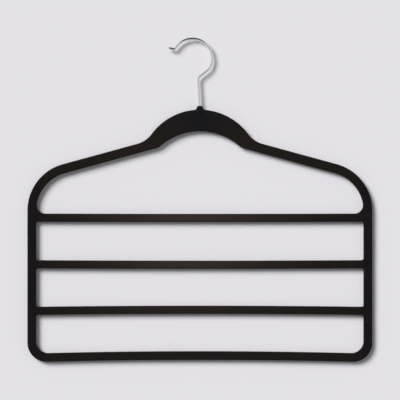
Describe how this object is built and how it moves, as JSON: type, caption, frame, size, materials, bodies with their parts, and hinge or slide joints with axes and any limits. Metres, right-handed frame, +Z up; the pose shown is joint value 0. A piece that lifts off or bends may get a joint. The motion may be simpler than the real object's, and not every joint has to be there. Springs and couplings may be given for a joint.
{
  "type": "multi tier trouser hanger",
  "caption": "Flocked trouser hanger with an arched neck, sloping arms and a stack of horizontal bars in a rounded frame, hung from a swivelling chrome wire hook.",
  "frame": {"origin": "rail seat: the point on the inside of the hook's loop that lies on the swivel axis, straight above the frame's centre line", "axes": "+Z up as it hangs, +X to the right across the bars, -Y out of the front face; the hook opens towards -X"},
  "size_m": [0.445, 0.0088, 0.4184],
  "materials": {
    "moulded_core": "injection moulded ABS, satin black, hidden under the flock",
    "flock": "short black nylon pile, electrostatically flocked on adhesive, matt with a soft sheen",
    "hook_chrome": "bright chrome plated steel wire"
  },
  "bodies": {
    "hook": {"swivel_hook": "hook_chrome"},
    "frame": {"frame_core": "moulded_core", "velvet_coat": "flock"}
  },
  "joints": [
    {"name": "hook_swivel", "type": "hinge", "parent": "hook", "child": "frame", "pos_m": [0, 0, -0.0825], "axis": [0, 0, 1], "continuous": true}
  ]
}
